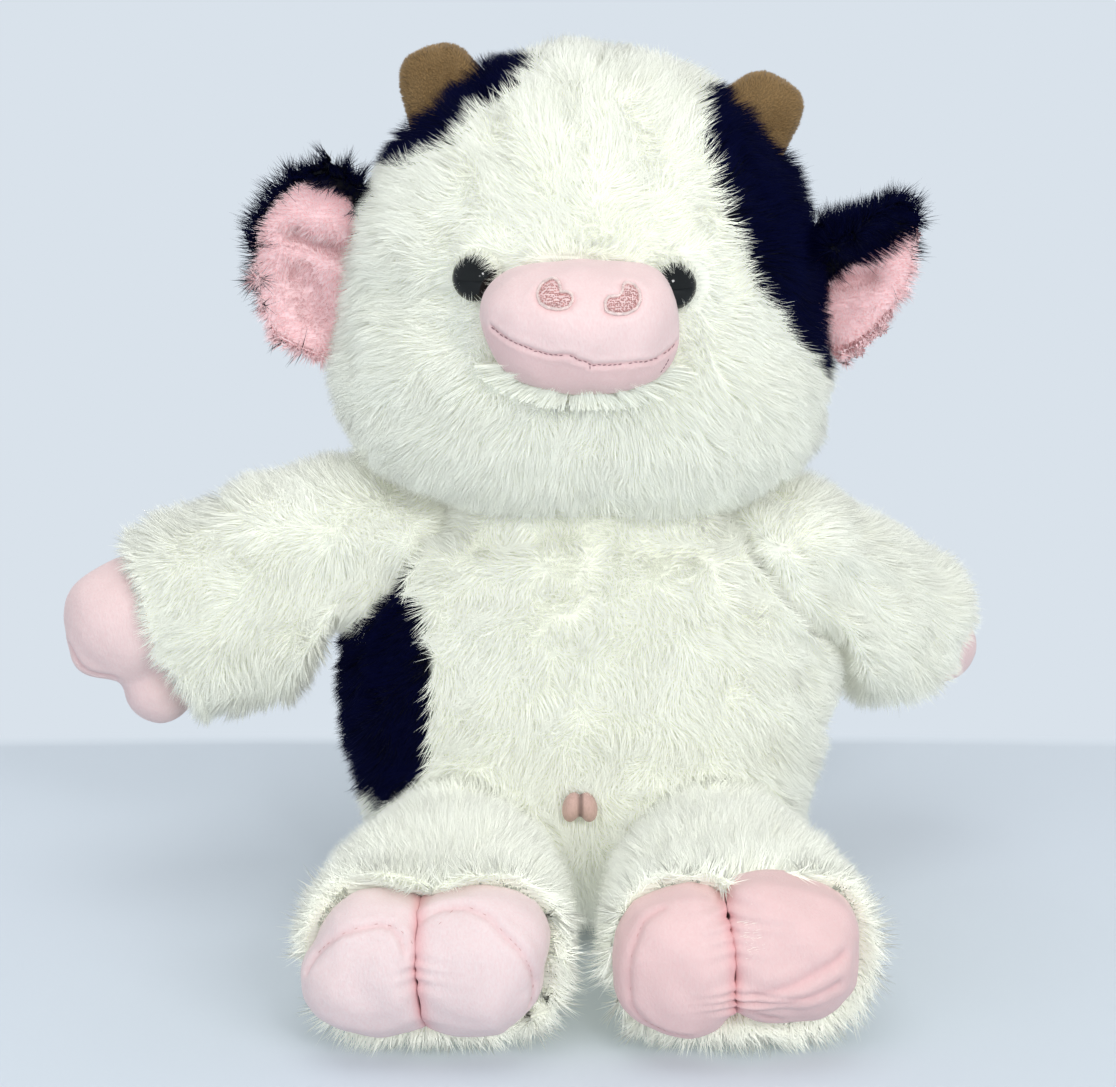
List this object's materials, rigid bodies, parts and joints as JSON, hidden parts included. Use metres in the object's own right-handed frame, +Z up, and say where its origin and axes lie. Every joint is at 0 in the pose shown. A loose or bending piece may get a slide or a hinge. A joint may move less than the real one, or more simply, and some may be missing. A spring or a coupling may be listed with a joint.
{
  "type": "plush cow",
  "caption": "Seated plush cow of long white pile with dark panels, pink muzzle and cloven feet; head, ears, arms, legs and tail bend at their seams.",
  "frame": {"origin": "middle of the flattened seat under the torso, on the surface that the toy sits on", "axes": "+Z up; the toy looks along -Y; +X points to the toy's own left, across the spread of the arms"},
  "size_m": [0.316, 0.2783, 0.3],
  "materials": {
    "white_fur": "long warm white pile",
    "navy_fur": "long dark navy pile",
    "pink_plush": "short soft pink pile",
    "ear_plush": "pink pile of medium length",
    "horn_plush": "short brown pile",
    "stitching": "satin stitch in dusky pink thread",
    "eye_plastic": "polished black",
    "washer_plastic": "natural",
    "filling": "loose polyester fibre",
    "pouch_cloth": "plain woven cloth"
  },
  "bodies": {
    "torso": {"torso_cover": "white_fur", "torso_side_patch": "navy_fur", "torso_stuffing": "filling", "seat_bead_pouch": "pouch_cloth", "belly_nub": "pink_plush"},
    "head": {"head_cover": "white_fur", "head_stuffing": "filling", "muzzle_pad": "pink_plush", "muzzle_lip": "pink_plush", "mouth_thread": "stitching", "head_patch_right": "navy_fur", "nostril_right": "stitching", "horn_right": "horn_plush", "eye_right": "eye_plastic", "eye_washer_right": "washer_plastic", "head_patch_left": "navy_fur", "nostril_left": "stitching", "horn_left": "horn_plush", "eye_left": "eye_plastic", "eye_washer_left": "washer_plastic"},
    "arm_right": {"arm_sleeve_right": "white_fur", "arm_hoof_right": "pink_plush", "arm_stuffing_right": "filling"},
    "arm_left": {"arm_sleeve_left": "white_fur", "arm_hoof_left": "pink_plush", "arm_stuffing_left": "filling"},
    "leg_right": {"leg_sleeve_right": "white_fur", "toe_inner_right": "pink_plush", "toe_outer_right": "pink_plush", "leg_stuffing_right": "filling"},
    "leg_left": {"leg_sleeve_left": "white_fur", "toe_outer_left": "pink_plush", "toe_inner_left": "pink_plush", "leg_stuffing_left": "filling"},
    "ear_right": {"ear_back_right": "navy_fur", "ear_lining_right": "ear_plush"},
    "ear_left": {"ear_back_left": "navy_fur", "ear_lining_left": "ear_plush"},
    "tail": {"tail_cord": "white_fur", "tail_tuft": "navy_fur"}
  },
  "joints": [
    {"name": "neck_turn", "type": "hinge", "parent": "torso", "child": "head", "pos_m": [0, 0.016, 0.158], "axis": [0, 0, 1], "range_deg": [-25, 25], "stiffness_Nm_per_rad": 0.6},
    {"name": "shoulder_right", "type": "hinge", "parent": "torso", "child": "arm_right", "pos_m": [-0.07, 0.008, 0.121], "axis": [-0.1045, 0.9945, 0], "range_deg": [-15, 15], "stiffness_Nm_per_rad": 0.5},
    {"name": "shoulder_left", "type": "hinge", "parent": "torso", "child": "arm_left", "pos_m": [0.07, 0.008, 0.121], "axis": [0.788, -0.6157, 0], "range_deg": [-6, 24], "stiffness_Nm_per_rad": 0.5},
    {"name": "hip_right", "type": "hinge", "parent": "torso", "child": "leg_right", "pos_m": [-0.043, -0.043, 0.03175], "axis": [-0.9986, 0.0523, 0], "range_deg": [-20, 20], "stiffness_Nm_per_rad": 0.8},
    {"name": "hip_left", "type": "hinge", "parent": "torso", "child": "leg_left", "pos_m": [0.043, -0.043, 0.03175], "axis": [-0.9986, -0.0523, 0], "range_deg": [-20, 20], "stiffness_Nm_per_rad": 0.8},
    {"name": "ear_root_right", "type": "hinge", "parent": "head", "child": "ear_right", "pos_m": [-0.08075, 0.01, 0.22532], "axis": [0.2056, 0, 0.9786], "range_deg": [-20, 20], "stiffness_Nm_per_rad": 0.02},
    {"name": "ear_root_left", "type": "hinge", "parent": "head", "child": "ear_left", "pos_m": [0.08082, 0.01, 0.21968], "axis": [0.1368, 0, -0.9906], "range_deg": [-20, 20], "stiffness_Nm_per_rad": 0.02},
    {"name": "tail_root", "type": "hinge", "parent": "torso", "child": "tail", "pos_m": [0, 0.05634, 0.036], "axis": [0, 0.309, 0.9511], "range_deg": [-30, 30], "stiffness_Nm_per_rad": 0.01}
  ]
}
